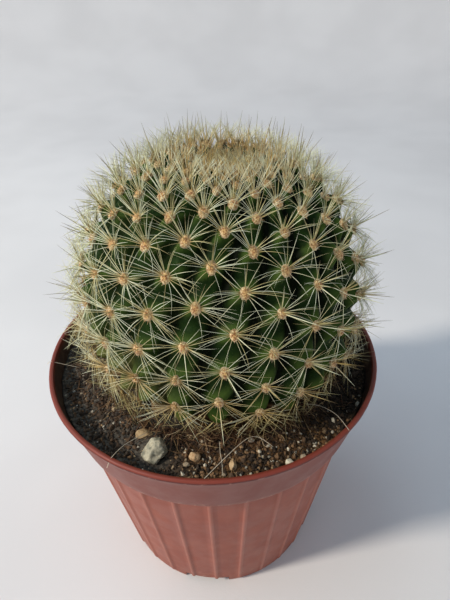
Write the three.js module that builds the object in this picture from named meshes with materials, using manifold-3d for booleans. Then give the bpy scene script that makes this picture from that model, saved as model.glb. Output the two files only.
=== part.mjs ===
// A globular cactus in its plastic nursery pot: a ribbed, spined stem in soil with a few stones on it.
// Millimetres, +Z up. The origin is the middle of the pot's foot, on the surface that the pot stands on.
// Azimuth 0 points along -Y, the side that the object is looked at from, and grows towards +X.
import * as THREE from "three";
import { mergeVertices } from "three/addons/utils/BufferGeometryUtils.js";
import Module from "manifold-3d";

// Pot
const POT_HEIGHT = 95.8;
const RIM_RADIUS = 60;
const LIP_HEIGHT = 1.5;
const LIP_THICKNESS = 1.6;
const LIP_ROUND = 0.5;
const COLLAR_DEPTH = 19.5;
const COLLAR_TOP_RADIUS = 59.3;
const COLLAR_FOOT_RADIUS = 55.1;
const COLLAR_STEP = 0.8;
const BODY_TOP_RADIUS = 53.0;
const BASE_RADIUS = 42.8;
const WALL = 1.0;
const LEDGE_RISE = 0.8;
const FOOT_WIDTH = 1.6;
const FOOT_HEIGHT = 4.0;
const FLOOR_THICKNESS = 1.2;
const POT_SIDES = 56;

// Upright ribs on the pot's body, notches in its foot ring and holes in its floor
const POT_RIBS = 28;
const POT_RIB_WIDTH = 1.8;
const POT_RIB_PROUD = 0.65;
const POT_RIB_SUNK = 0.4;
const POT_RIB_FOOT = 1.2;
const POT_RIB_PHASE = THREE.MathUtils.degToRad(-1.6);
const FOOT_NOTCHES = 4;
const FOOT_NOTCH_WIDTH = 18.1;
const FOOT_NOTCH_HEIGHT = 3.6;
const FOOT_NOTCH_PHASE = THREE.MathUtils.degToRad(-7.0);
const DRAIN_HOLES = 8;
const DRAIN_RADIUS = 3;
const DRAIN_RING_RADIUS = 26;

// Soil
const GAP = 0.3;
const SOIL_EDGE = 6.6;
const SOIL_MOUND = 1.6;
const SOIL_LUMP = 0.7;
const SOIL_LUMP_LENGTH = 20;
const MOUND_RADII = [38, 55];
const SOIL_SIDES = POT_SIDES / 2;
const SOIL_RINGS = [53, 48.5, 44, 38, 20, 0];
const HOLLOW_SIDES = 36;
const HOLLOW_STEPS = 4;
const HOLLOW_OVER_EDGE = 8;
const STONE_UNEVENNESS = 0.12;
const STONE_SHOWS = 0.35;

// Stem: a leaning superellipse of revolution that the areoles' outer faces lie on
const STEM_RADIUS = 47.4;
const STEM_TOP = 50.3;
const STEM_BOTTOM = 42;
const STEM_TOP_POWER = 2.25;
const STEM_BOTTOM_POWER = 2.1;
const STEM_CENTRE = new THREE.Vector3(3.4, 0, 117.6);
const STEM_LEAN_X = 0.053;
const STEM_LEAN_Y = 0.062;
const CROWN_DIMPLE = 3;
const CROWN_DIMPLE_RADIUS = 13.2;

// Areoles: rows along the ribs, each rib a part of a row further on than the one before it
const RIBS = 24;
const ROWS_PER_TURN = 10;
const ROW_SHIFT = ROWS_PER_TURN / RIBS;
const ROW_STEP = 11.46;
const ROW_STEP_POWER = 0.57;
const FIRST_ROW_HEIGHT = 15.8;
const RIB_PHASE = -0.271;
const RIB_SLANT = 0.00142;
const RIB_CURL = 0.000083;
const FURROW_DEPTH = 5;
const FLANK_DEPTH = 1.9;
const NOTCH_DEPTH = 2.4;
const PAD_HEIGHT = 0.9;
const PAD_HALF_LENGTH = 0.14;
const CROWN_ROW = 5.2;
const LAST_ROW = 8.6;
const NARROWEST_SHARE = 0.08;
const BURIED_DEPTH = 3;
const RELIEF_IN_SOIL = 0.25;
const LEAST_ROW_GAP = 0.1;

// Spines: lengths, and leans from the straight outward direction in radians, each from lowest to highest
const SPINE_RADIUS = 0.34;
const SPINE_ROOT_DEPTH = 2.2;
const SPINE_ROOT_SPREAD = 0.5;
const RADIAL_LENGTH = [7.7, 10.3];
const RADIAL_LEAN = [1.05, 1.25];
const CENTRAL_LENGTH = [9.2, 12.6];
const CENTRAL_LEAN = [0.1, 0.5];
const CENTRAL_TURN = [-0.7, 0.7];
const CROWN_LENGTH = [7.1, 10.9];
const CROWN_LEAN = [0.1, 0.45];
const SPINE_CLEARANCE = 0.8;
const SPINE_LIFT = 0.18;
const MOST_LIFTS = 9;

// Root neck under the stem, by depth below the stem's middle
const SHOULDER_DEPTH = 34;
const NECK_DEPTH = 38.7;
const NECK_RADIUS = 14;
const ROOT_DEPTH = 62;
const ROOT_RADIUS = 6;
const ROOT_POINT = 1;

// Stones that lie half sunk in the soil: place, turn about +Z and the three half sizes of each
const STONES = [
  { name: "stone_pale_grey", x: -17.6, y: -45.6, turn: 0.3, sizes: [4.0, 3.9, 3.8] },
  { name: "stone_tan", x: -21.4, y: -39.3, turn: 0.1, sizes: [2.9, 1.7, 1.7] },
  { name: "stone_sand", x: -5.3, y: -47.6, turn: -0.2, sizes: [1.8, 1.6, 1.4] },
  { name: "stone_cream", x: 6.1, y: -50.5, turn: 0.2, sizes: [1.2, 1.7, 1.5] },
  { name: "stone_white", x: 23.2, y: -49.0, turn: 0.4, sizes: [1.4, 1.0, 1.0] },
];

const COLOURS = {
  pot: new THREE.Color(0.52, 0.26, 0.2),
  soil: new THREE.Color(0.16, 0.12, 0.09),
  cactus: new THREE.Color(0.16, 0.3, 0.13),
  stone: new THREE.Color(0.7, 0.66, 0.58),
};

const TURN = 2 * Math.PI;
const wasm = await Module();
wasm.setup();

// Repeatable random numbers from 0 to 1
function seededRandom(seed) {
  let state = seed;
  return () => {
    state = (state * 1664525 + 1013904223) % 4294967296;
    return state / 4294967296;
  };
}

// A closed geometry as a solid, and a solid as a geometry
function solidOf(geometry) {
  for (const name of ["normal", "uv", "color"]) geometry.deleteAttribute(name);
  const merged = mergeVertices(geometry, 1e-4);
  const vertProperties = new Float32Array(merged.getAttribute("position").array);
  const triVerts = new Uint32Array(merged.index.array);
  return new wasm.Manifold(new wasm.Mesh({ numProp: 3, vertProperties, triVerts }));
}

function geometryOf(solid) {
  const mesh = solid.getMesh();
  const geometry = new THREE.BufferGeometry();
  geometry.setAttribute("position", new THREE.BufferAttribute(mesh.vertProperties, 3));
  geometry.setIndex(new THREE.BufferAttribute(mesh.triVerts, 1));
  geometry.computeVertexNormals();
  return geometry;
}

// One solid from many, joined two by two
function joined(solids) {
  let left = solids;
  while (left.length > 1) {
    const pairs = [];
    for (let i = 1; i < left.length; i += 2) pairs.push(left[i - 1].add(left[i]));
    if (left.length % 2) pairs.push(left.at(-1));
    left = pairs;
  }
  return left[0];
}

function meshOf(name, solid, colour, roughness) {
  const material = new THREE.MeshStandardMaterial({ color: colour, roughness, metalness: 0 });
  const mesh = new THREE.Mesh(geometryOf(solid), material);
  mesh.name = name;
  return mesh;
}

// A profile of [radius, height] points, from the axis below round the outside to the axis above, turned
// about Z
function turned(profile, sides) {
  const points = profile.map(([radius, height]) => new THREE.Vector2(radius, height));
  return new THREE.LatheGeometry(points, sides).rotateX(Math.PI / 2);
}

// Radius between two heights of a straight cone
function coneRadius(z, lowZ, lowRadius, highZ, highRadius) {
  return lowRadius + ((highRadius - lowRadius) * (z - lowZ)) / (highZ - lowZ);
}

const COLLAR_FOOT_Z = POT_HEIGHT - COLLAR_DEPTH;
const FLOOR_TOP_Z = FOOT_HEIGHT + FLOOR_THICKNESS;

// Inner radius of the pot's wall at a height; the ledge under the collar lies LEDGE_RISE higher inside
function potInnerRadius(z) {
  if (z < COLLAR_FOOT_Z + LEDGE_RISE) {
    return coneRadius(z, 0, BASE_RADIUS, COLLAR_FOOT_Z, BODY_TOP_RADIUS) - WALL;
  }
  return coneRadius(z, COLLAR_FOOT_Z, COLLAR_FOOT_RADIUS, POT_HEIGHT - LIP_HEIGHT, COLLAR_TOP_RADIUS) - WALL;
}

function potShell() {
  const lipZ = POT_HEIGHT - LIP_HEIGHT;
  const lipInner = RIM_RADIUS - LIP_THICKNESS;
  return solidOf(turned([
    [0, FOOT_HEIGHT],
    [BASE_RADIUS - FOOT_WIDTH, FOOT_HEIGHT],
    [BASE_RADIUS - FOOT_WIDTH, 0],
    [BASE_RADIUS, 0],
    [BODY_TOP_RADIUS, COLLAR_FOOT_Z - COLLAR_STEP],
    [COLLAR_FOOT_RADIUS, COLLAR_FOOT_Z],
    [COLLAR_TOP_RADIUS, lipZ - LIP_ROUND],
    [RIM_RADIUS, lipZ],
    [RIM_RADIUS, POT_HEIGHT - LIP_ROUND],
    [RIM_RADIUS - LIP_ROUND, POT_HEIGHT],
    [lipInner + LIP_ROUND, POT_HEIGHT],
    [lipInner, POT_HEIGHT - LIP_ROUND],
    [potInnerRadius(lipZ - LIP_ROUND), lipZ - LIP_ROUND],
    [potInnerRadius(COLLAR_FOOT_Z + LEDGE_RISE), COLLAR_FOOT_Z + LEDGE_RISE],
    [potInnerRadius(COLLAR_FOOT_Z - COLLAR_STEP + LEDGE_RISE), COLLAR_FOOT_Z - COLLAR_STEP + LEDGE_RISE],
    [potInnerRadius(FLOOR_TOP_Z), FLOOR_TOP_Z],
    [0, FLOOR_TOP_Z],
  ], POT_SIDES));
}

// One upright rib, wider where it leaves the wall than at its face
function potRib(azimuth) {
  const geometry = new THREE.BoxGeometry(POT_RIB_WIDTH, 2, 2);
  const position = geometry.getAttribute("position");
  const topZ = COLLAR_FOOT_Z - COLLAR_STEP / 2;
  for (let i = 0; i < position.count; i++) {
    const outer = position.getY(i) < 0;
    const z = position.getZ(i) > 0 ? topZ : POT_RIB_FOOT;
    const wall = coneRadius(z, 0, BASE_RADIUS, COLLAR_FOOT_Z, BODY_TOP_RADIUS);
    const radius = outer ? wall + POT_RIB_PROUD : wall - POT_RIB_SUNK;
    position.setXYZ(i, position.getX(i) * (outer ? 0.5 : 1), -radius, z);
  }
  return solidOf(geometry.rotateZ(azimuth));
}

function footNotch(azimuth) {
  const depth = 4 * FOOT_WIDTH;
  const geometry = new THREE.BoxGeometry(FOOT_NOTCH_WIDTH, depth, 2 * FOOT_NOTCH_HEIGHT);
  return solidOf(geometry.translate(0, FOOT_WIDTH - BASE_RADIUS, 0).rotateZ(azimuth));
}

function drainHole(radius, azimuth) {
  const geometry = new THREE.CylinderGeometry(DRAIN_RADIUS, DRAIN_RADIUS, 4 * FLOOR_THICKNESS, 12);
  geometry.rotateX(Math.PI / 2).translate(0, -radius, FOOT_HEIGHT + FLOOR_THICKNESS / 2);
  return solidOf(geometry.rotateZ(azimuth));
}

// Azimuths spread evenly over a turn
function around(count, phase) {
  return Array.from({ length: count }, (_, i) => phase + (TURN * i) / count);
}

function makePot() {
  const ribs = around(POT_RIBS, POT_RIB_PHASE).map(potRib);
  const notches = around(FOOT_NOTCHES, FOOT_NOTCH_PHASE).map(footNotch);
  const drains = around(DRAIN_HOLES, 0).map((azimuth) => drainHole(DRAIN_RING_RADIUS, azimuth));
  drains.push(drainHole(0, 0));
  return joined([potShell(), ...ribs]).subtract(joined([...notches, ...drains]));
}

// The stem's outline from its foot to its crown: radius, height over its middle, length along the outline
// from the middle, and row number, whose whole numbers are the areoles of the first rib
function stemOutline() {
  const steps = 600;
  const outline = [];
  for (let i = 0; i <= steps; i++) {
    const angle = Math.PI * (i / steps - 0.5);
    const upper = angle > 0;
    const power = 2 / (upper ? STEM_TOP_POWER : STEM_BOTTOM_POWER);
    const radius = STEM_RADIUS * Math.abs(Math.cos(angle)) ** power;
    const dimple = upper ? CROWN_DIMPLE * Math.exp(-((radius / CROWN_DIMPLE_RADIUS) ** 2)) : 0;
    const reach = Math.abs(Math.sin(angle)) ** power;
    outline.push({ radius, z: (upper ? STEM_TOP : -STEM_BOTTOM) * reach - dimple, along: 0, row: 0 });
  }
  const rowsPerMm = ({ radius, z }) => {
    const share = z < 0 ? 1 : Math.max(radius / STEM_RADIUS, NARROWEST_SHARE);
    return 1 / (ROW_STEP * share ** ROW_STEP_POWER);
  };
  for (let i = 1; i <= steps; i++) {
    const low = outline[i - 1];
    const high = outline[i];
    const length = Math.hypot(high.radius - low.radius, high.z - low.z);
    high.along = low.along + length;
    high.row = low.row + (length * (rowsPerMm(low) + rowsPerMm(high))) / 2;
  }
  const middle = outline[steps / 2].along;
  for (const point of outline) point.along -= middle;
  const firstRow = outlinePoint(outline, "along", FIRST_ROW_HEIGHT).row;
  for (const point of outline) point.row -= firstRow;
  return outline;
}

// The point of the outline where a value that grows along it, such as the row, has the given size
function outlinePoint(outline, key, value) {
  let high = outline.findIndex((point) => point[key] >= value);
  if (high < 0) high = outline.length - 1;
  high = Math.max(high, 1);
  const a = outline[high - 1];
  const b = outline[high];
  const share = THREE.MathUtils.clamp((value - a[key]) / (b[key] - a[key]), 0, 1);
  const mixed = (name) => a[name] + (b[name] - a[name]) * share;
  const slope = new THREE.Vector2(b.z - a.z, a.radius - b.radius).normalize();
  return { radius: mixed("radius"), z: mixed("z"), along: mixed("along"), row: mixed("row"), slope };
}

const OUTLINE = stemOutline();
const LEAN = new THREE.Matrix4()
  .makeRotationY(STEM_LEAN_Y)
  .multiply(new THREE.Matrix4().makeRotationX(STEM_LEAN_X))
  .setPosition(STEM_CENTRE);

// A direction that points away from the axis at an azimuth, and along it by z
function radial(azimuth, length, z) {
  return new THREE.Vector3(length * Math.sin(azimuth), -length * Math.cos(azimuth), z);
}

// A place on the stem, with the outward, sideways and upward directions there: rib and row are lattice
// numbers, depth is how far it lies under the outer face
function stemPlace(rib, row, depth) {
  const point = outlinePoint(OUTLINE, "row", row + ROW_SHIFT * rib);
  const slant = RIB_SLANT * point.along + RIB_CURL * point.along ** 2;
  const azimuth = RIB_PHASE + (TURN * rib) / RIBS + slant;
  const out = radial(azimuth, point.slope.x, point.slope.y);
  const side = new THREE.Vector3(Math.cos(azimuth), Math.sin(azimuth), 0);
  const place = radial(azimuth, point.radius, point.z).addScaledVector(out, -depth).applyMatrix4(LEAN);
  out.transformDirection(LEAN);
  side.transformDirection(LEAN);
  return { place, out, side, up: new THREE.Vector3().crossVectors(side, out).negate(), point };
}

const SOIL_EDGE_Z = POT_HEIGHT - SOIL_EDGE;

// Height of the soil's surface: it rises a little towards the stem and is lumpy
function soilHeight(x, y) {
  const rise = SOIL_MOUND * (1 - THREE.MathUtils.smoothstep(Math.hypot(x, y), ...MOUND_RADII));
  const wave = TURN / SOIL_LUMP_LENGTH;
  const lumps = Math.sin(wave * x + 1.3) * Math.cos(wave * y) + 0.6 * Math.sin((wave / 2) * (x - 2.5 * y));
  return SOIL_EDGE_Z + rise + SOIL_LUMP * lumps;
}

// How strongly the relief shows at a point of the stem: less on the narrow crown, fading out under the soil
function reliefAt(point) {
  const crown = Math.min(1, (point.radius / STEM_RADIUS) ** 0.9);
  const buried = point.z + STEM_CENTRE.z - SOIL_EDGE_Z;
  const shown = THREE.MathUtils.smoothstep(buried, -BURIED_DEPTH, 2 * BURIED_DEPTH);
  return crown * THREE.MathUtils.lerp(RELIEF_IN_SOIL, 1, shown);
}

// Columns of the stem's relief on one rib: where each lies across the rib, and its [row, depth] points for
// one areole
const RELIEF = [
  { across: -0.5, points: [[0.5, FURROW_DEPTH + 0.4 * NOTCH_DEPTH]] },
  { across: -0.24, points: [[0, FLANK_DEPTH], [0.5, FLANK_DEPTH + NOTCH_DEPTH]] },
  {
    across: 0,
    points: [[-PAD_HALF_LENGTH, 0], [PAD_HALF_LENGTH, 0], [0.5, PAD_HEIGHT + NOTCH_DEPTH]],
  },
  { across: 0.24, points: [[0, FLANK_DEPTH], [0.5, FLANK_DEPTH + NOTCH_DEPTH]] },
];

const FOOT_ROW = outlinePoint(OUTLINE, "z", SOIL_EDGE_Z - BURIED_DEPTH - STEM_CENTRE.z).row;

// Triangles between two strings of points that run side by side, each point with its index and its key
// along them
function stitch(faces, left, right) {
  let i = 0;
  let j = 0;
  while (i < left.length - 1 || j < right.length - 1) {
    const leftNext = i < left.length - 1 ? left[i + 1].key : Infinity;
    const rightNext = j < right.length - 1 ? right[j + 1].key : Infinity;
    if (leftNext <= rightNext) {
      faces.push(left[i].index, right[j].index, left[i + 1].index);
      i++;
    } else {
      faces.push(left[i].index, right[j].index, right[j + 1].index);
      j++;
    }
  }
}

// One column of relief points from the buried foot to the crown
function reliefColumn(rib, column, vertices) {
  const across = rib + column.across;
  const shift = ROW_SHIFT * across;
  const rows = [{ row: FOOT_ROW - shift, depth: column.points[0][1] }];
  for (let step = Math.ceil(FOOT_ROW - shift) - 1; step <= CROWN_ROW - shift + 1; step++)
    for (const [offset, depth] of column.points) rows.push({ row: step + offset, depth });
  rows.push({ row: CROWN_ROW - shift, depth: column.points[0][1] });
  const fromEnds = (row) => Math.min(row + shift - FOOT_ROW, CROWN_ROW - row - shift);
  return rows
    .filter(({ row }, i) => i === 0 || i === rows.length - 1 || fromEnds(row) > LEAST_ROW_GAP)
    .sort((a, b) => a.row - b.row)
    .map(({ row, depth }) => {
      const flat = stemPlace(across, row, 0);
      const place = flat.place.addScaledVector(flat.out, -depth * reliefAt(flat.point));
      vertices.push(place);
      return { index: vertices.length - 1, key: row + shift };
    });
}

// A level ring of the stem under the soil
function buriedRing(depth, radius, count, vertices) {
  const ring = around(count, RIB_PHASE - Math.PI / RIBS).map((azimuth, i) => {
    vertices.push(radial(azimuth, radius, -depth).applyMatrix4(LEAN));
    return { index: vertices.length - 1, key: i / count };
  });
  return [...ring, { index: ring[0].index, key: 1 }];
}

function ringOf(columns, end) {
  const ring = columns.map((column, i) => ({ index: column.at(end).index, key: i / columns.length }));
  return [...ring, { index: ring[0].index, key: 1 }];
}

// The ribbed stem with its root neck, without spines
function stemBody() {
  const vertices = [];
  const faces = [];
  const columns = [];
  for (let rib = 0; rib < RIBS; rib++)
    for (const column of RELIEF) columns.push(reliefColumn(rib, column, vertices));
  columns.forEach((column, i) => stitch(faces, column, columns[(i + 1) % columns.length]));

  const crownInner = Array.from({ length: RIBS }, (_, rib) => {
    vertices.push(stemPlace(rib, (CROWN_ROW + LAST_ROW) / 2 - ROW_SHIFT * rib, PAD_HEIGHT).place);
    return { index: vertices.length - 1, key: (rib + 0.5) / RIBS };
  });
  crownInner.push({ index: crownInner[0].index, key: 1 + crownInner[0].key });
  stitch(faces, crownInner, ringOf(columns, -1));
  vertices.push(new THREE.Vector3(0, 0, STEM_TOP - CROWN_DIMPLE - PAD_HEIGHT).applyMatrix4(LEAN));
  const apex = vertices.length - 1;
  for (let i = 0; i < RIBS; i++) faces.push(crownInner[i].index, crownInner[i + 1].index, apex);

  const rings = [
    buriedRing(SHOULDER_DEPTH, outlinePoint(OUTLINE, "z", -SHOULDER_DEPTH).radius, RIBS, vertices),
    buriedRing(NECK_DEPTH, NECK_RADIUS, RIBS / 2, vertices),
    buriedRing(ROOT_DEPTH, ROOT_RADIUS, RIBS / 2, vertices),
  ];
  stitch(faces, ringOf(columns, 0), rings[0]);
  stitch(faces, rings[0], rings[1]);
  stitch(faces, rings[1], rings[2]);
  vertices.push(new THREE.Vector3(0, 0, -ROOT_DEPTH - ROOT_POINT).applyMatrix4(LEAN));
  const tip = vertices.length - 1;
  for (let i = 0; i + 1 < rings[2].length; i++) faces.push(rings[2][i + 1].index, rings[2][i].index, tip);

  const geometry = new THREE.BufferGeometry().setFromPoints(vertices);
  geometry.setIndex(faces);
  return solidOf(geometry);
}

// Whether a point is clear of the soil, the stones and the pot's rim
function isClear(point) {
  if (point.z < soilHeight(point.x, point.y) + SPINE_CLEARANCE) return false;
  const room = potInnerRadius(point.z) - 2 * SPINE_CLEARANCE;
  if (point.z < POT_HEIGHT + SPINE_CLEARANCE && Math.hypot(point.x, point.y) > room) return false;
  return STONES.every(({ x, y, sizes }) => {
    const reach = Math.max(...sizes) + SPINE_CLEARANCE;
    return Math.hypot(point.x - x, point.y - y) > reach || point.z > soilHeight(x, y) + reach;
  });
}

// A straight three-sided cone from a sunk root to a tip
function needle(root, tip, turn) {
  const axis = new THREE.Vector3().subVectors(tip, root);
  const geometry = new THREE.ConeGeometry(SPINE_RADIUS, axis.length(), 3, 1).rotateY(turn);
  const upright = new THREE.Vector3(0, 1, 0);
  geometry.applyQuaternion(new THREE.Quaternion().setFromUnitVectors(upright, axis.normalize()));
  const middle = new THREE.Vector3().addVectors(root, tip).multiplyScalar(0.5);
  return solidOf(geometry.translate(middle.x, middle.y, middle.z));
}

// A spine of an areole, turned upwards step by step until it is clear, or nothing where it can't be
function spine(areole, lean, turn, length) {
  const { place, out, side, up } = areole;
  const sideways = up.clone().multiplyScalar(Math.cos(turn)).addScaledVector(side, Math.sin(turn));
  const direction = out.clone().multiplyScalar(Math.cos(lean)).addScaledVector(sideways, Math.sin(lean));
  const root = place.clone().addScaledVector(out, -SPINE_ROOT_DEPTH);
  root.addScaledVector(sideways, SPINE_ROOT_SPREAD);
  const tip = new THREE.Vector3();
  const sample = new THREE.Vector3();
  for (let lifts = 0; lifts <= MOST_LIFTS; lifts++) {
    tip.copy(place).addScaledVector(direction, length);
    const clear = [1 / 3, 2 / 3, 1].every((share) => isClear(sample.lerpVectors(place, tip, share)));
    if (clear) return needle(root, tip, turn);
    direction.z += SPINE_LIFT;
    direction.normalize();
  }
  return null;
}

// Every areole that shows, by rib and row
function areoles() {
  const list = [];
  for (let rib = 0; rib < RIBS; rib++) {
    const shift = ROW_SHIFT * rib;
    for (let row = Math.ceil(FOOT_ROW - shift); row + shift < LAST_ROW; row++) {
      const areole = stemPlace(rib, row, 0);
      if (areole.place.z > soilHeight(areole.place.x, areole.place.y) + PAD_HEIGHT)
        list.push({ ...areole, row: row + shift, isEven: (rib + row) % 2 === 0 });
    }
  }
  return list;
}

// The spines of one areole: a long one that stands out, and short ones spread round it on the open sides
function spinesOf(areole, random) {
  const between = ([low, high]) => low + (high - low) * random();
  const turn = TURN * random();
  if (areole.row > CROWN_ROW) return [spine(areole, between(CROWN_LEAN), turn, between(CROWN_LENGTH))];
  const long = spine(areole, between(CENTRAL_LEAN), between(CENTRAL_TURN), between(CENTRAL_LENGTH));
  const halves = areole.isEven ? [0, Math.PI] : [0];
  const short = halves.map((half) => spine(areole, between(RADIAL_LEAN), turn + half, between(RADIAL_LENGTH)));
  return [long, ...short];
}

function makeCactus() {
  const random = seededRandom(7);
  const spines = areoles().flatMap((areole) => spinesOf(areole, random)).filter(Boolean);
  return joined([stemBody(), ...spines]);
}

// The plain hollow that the stem stands in
function stemHollow() {
  const profile = [
    [0, -ROOT_DEPTH - ROOT_POINT - GAP],
    [ROOT_RADIUS + GAP, -ROOT_DEPTH - GAP],
    [NECK_RADIUS + GAP, -NECK_DEPTH - GAP],
  ];
  const highest = SOIL_EDGE_Z - STEM_CENTRE.z + HOLLOW_OVER_EDGE;
  const flatness = 1 / Math.cos(Math.PI / HOLLOW_SIDES);
  for (let i = 0; i <= HOLLOW_STEPS; i++) {
    const z = THREE.MathUtils.lerp(-SHOULDER_DEPTH, highest, i / HOLLOW_STEPS);
    profile.push([(outlinePoint(OUTLINE, "z", z).radius + 2 * GAP) * flatness, z]);
  }
  profile.push([0, highest]);
  return solidOf(turned(profile, HOLLOW_SIDES).applyMatrix4(LEAN));
}

// A rounded, uneven stone; grown makes the same stone larger on every side
function stone({ x, y, turn, sizes }, index, grown) {
  const random = seededRandom(31 + index);
  const geometry = new THREE.IcosahedronGeometry(1, 1);
  geometry.deleteAttribute("normal");
  geometry.deleteAttribute("uv");
  const merged = mergeVertices(geometry, 1e-4);
  const position = merged.getAttribute("position");
  const point = new THREE.Vector3();
  for (let i = 0; i < position.count; i++) {
    point.fromBufferAttribute(position, i).multiplyScalar(1 + STONE_UNEVENNESS * (2 * random() - 1));
    position.setXYZ(i, ...sizes.map((size, k) => point.getComponent(k) * (size + grown)));
  }
  merged.rotateZ(turn).translate(x, y, soilHeight(x, y) + STONE_SHOWS * sizes[2]);
  return solidOf(merged);
}

function makeSoil() {
  const edgeRadius = potInnerRadius(SOIL_EDGE_Z) - GAP;
  const geometry = turned([
    [0, FLOOR_TOP_Z + GAP],
    [potInnerRadius(FLOOR_TOP_Z + GAP) - GAP, FLOOR_TOP_Z + GAP],
    [potInnerRadius(COLLAR_FOOT_Z) - GAP, COLLAR_FOOT_Z + GAP],
    [potInnerRadius(COLLAR_FOOT_Z + LEDGE_RISE) - GAP, COLLAR_FOOT_Z + LEDGE_RISE + GAP],
    ...[edgeRadius, ...SOIL_RINGS].map((radius) => [radius, SOIL_EDGE_Z]),
  ], SOIL_SIDES);
  const position = geometry.getAttribute("position");
  for (let i = 0; i < position.count; i++) {
    if (position.getZ(i) < SOIL_EDGE_Z - GAP) continue;
    const [x, y] = [position.getX(i), position.getY(i)];
    const z = soilHeight(x, y);
    const radius = Math.hypot(x, y);
    const fit = radius > edgeRadius - GAP ? (potInnerRadius(z) - GAP) / radius : 1;
    position.setXYZ(i, x * fit, y * fit, z);
  }
  const dimples = STONES.map((entry, index) => stone(entry, index, GAP));
  return solidOf(geometry).subtract(joined([stemHollow(), ...dimples]));
}

const pottedCactus = new THREE.Group();
pottedCactus.name = "potted_cactus";
pottedCactus.add(meshOf("pot", makePot(), COLOURS.pot, 0.5));
pottedCactus.add(meshOf("soil", makeSoil(), COLOURS.soil, 1));
pottedCactus.add(meshOf("cactus", makeCactus(), COLOURS.cactus, 0.6));
STONES.forEach((entry, index) => {
  pottedCactus.add(meshOf(entry.name, stone(entry, index, 0), COLOURS.stone, 0.85));
});

export default pottedCactus;
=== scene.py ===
"""A potted globular cactus: ribbed green stem with felted areoles and cream spines, peat and grit with
a few stones, and a ribbed plastic nursery pot. Shapes are worked out in millimetres, finished in metres."""

import random
from math import atan2, ceil, copysign, cos, degrees, hypot, pi, radians, sin
from types import SimpleNamespace

import bmesh
import bpy
import numpy as np
from mathutils import Matrix, Vector, noise


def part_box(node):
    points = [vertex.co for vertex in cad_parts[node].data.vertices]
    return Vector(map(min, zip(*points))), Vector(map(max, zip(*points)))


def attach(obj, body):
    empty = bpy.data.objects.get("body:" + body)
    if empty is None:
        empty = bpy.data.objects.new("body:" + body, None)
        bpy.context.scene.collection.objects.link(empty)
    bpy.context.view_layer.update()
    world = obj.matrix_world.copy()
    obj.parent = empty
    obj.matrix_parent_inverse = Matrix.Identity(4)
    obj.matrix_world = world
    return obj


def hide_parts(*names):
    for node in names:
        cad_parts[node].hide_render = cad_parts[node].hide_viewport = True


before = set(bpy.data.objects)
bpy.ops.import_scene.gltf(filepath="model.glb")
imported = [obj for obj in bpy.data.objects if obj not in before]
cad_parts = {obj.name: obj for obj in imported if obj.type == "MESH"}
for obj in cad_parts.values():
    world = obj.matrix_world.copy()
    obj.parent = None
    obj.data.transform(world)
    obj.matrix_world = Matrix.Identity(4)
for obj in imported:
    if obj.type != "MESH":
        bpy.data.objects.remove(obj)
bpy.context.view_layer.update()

MM = 0.001
TURN = 2 * pi

# Pot
POT_HEIGHT = 95.8
RIM_RADIUS = 60.0
LIP_HEIGHT = 1.5
LIP_THICKNESS = 1.6
COLLAR_FOOT_Z = 76.3
COLLAR_TOP_RADIUS = 59.3
COLLAR_FOOT_RADIUS = 55.1
COLLAR_STEP = 0.8
BODY_TOP_RADIUS = 53.0
BASE_RADIUS = 42.8
BODY_SLOPE = (BODY_TOP_RADIUS - BASE_RADIUS) / COLLAR_FOOT_Z
WALL = 1.0
LEDGE_RISE = 0.8
FOOT_WIDTH = 1.6
FOOT_HEIGHT = 4.0
FLOOR_TOP_Z = 5.2
POT_RIBS = 28
COLUMNS_PER_RIB = 10
RIB_COLUMNS = (0.0, 0.42, 0.62, 0.95, 2.6)
RIB_PROUD = (0.5, 0.47, 0.31)
RIB_FOOT_Z = 1.2
POT_RIB_PHASE = radians(-1.6)
FOOT_NOTCHES = 4
FOOT_NOTCH_SIZE = (18.1, 6.4, 7.2)
FOOT_NOTCH_PHASE = radians(-7.0)
DRAIN_HOLES = 8
DRAIN_RADIUS = 3.0
DRAIN_RING_RADIUS = 26.0
DRAIN_CUT_DEPTH = 4.8

# Soil
SOIL_EDGE_Z = 89.2
SOIL_MOUND = 1.6
SOIL_LUMP = 0.7
SOIL_LUMP_LENGTH = 20.0
MOUND_RADII = (38.0, 55.0)
MOUTH_UNDER_RIBS = 1.2
SOIL_RINGS = 26
SOIL_COLUMNS = 480
BARE_SOIL = (38.6, 57.0)
GRAIN_TRIES = 7000
LITTER_TRIES = 1500
GAP = 0.3
CLEARANCE = 0.5

# Stem: a leaning superellipse of revolution that the outer faces of the areoles lie on
STEM_RADIUS = 47.4
STEM_TOP = 50.3
STEM_BOTTOM = 42.0
STEM_TOP_POWER = 2.25
STEM_BOTTOM_POWER = 2.1
CROWN_DIMPLE = 3.0
CROWN_DIMPLE_RADIUS = 13.2
STEM_SHIFT = 3.4
ROOT_OUTLINE = ((0.0, -63.0), (4.5, -62.6), (6.0, -61.0), (9.0, -48.0), (14.0, -38.7), (24.0, -36.6))
STEM_MIDDLE_Z = 117.6
LEAN = Matrix.Rotation(0.062, 4, "Y") @ Matrix.Rotation(0.053, 4, "X")
LEAN = Matrix.Translation((STEM_SHIFT, 0, STEM_MIDDLE_Z)) @ LEAN
LEAN_TURN = np.array(LEAN.to_3x3())
LEAN_MOVE = np.array(LEAN.translation)

# Areoles: rows along the ribs, each rib part of a row further on than the one before it
RIBS = 24
ROW_SHIFT = 10 / 24
ROW_STEP = 11.46
ROW_STEP_POWER = 0.57
FIRST_ROW_HEIGHT = 15.8
RIB_PHASE = -0.271
RIB_SLANT = 0.00142
RIB_CURL = 0.000083
CROWN_ROW = 4.0
LAST_ROW = 8.6
ROTTED_ROW = -2.3
POLE_ROW = 99.0
FURROW_DEPTH = 6.0
WAIST_DEPTH = 3.3
COLUMNS_PER_STEM_RIB = 12
STEPS_PER_ROW = 12
FADE_HEIGHTS = (124.0, 102.0)
CORK_HEIGHTS = (101.0, 96.0)

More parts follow.
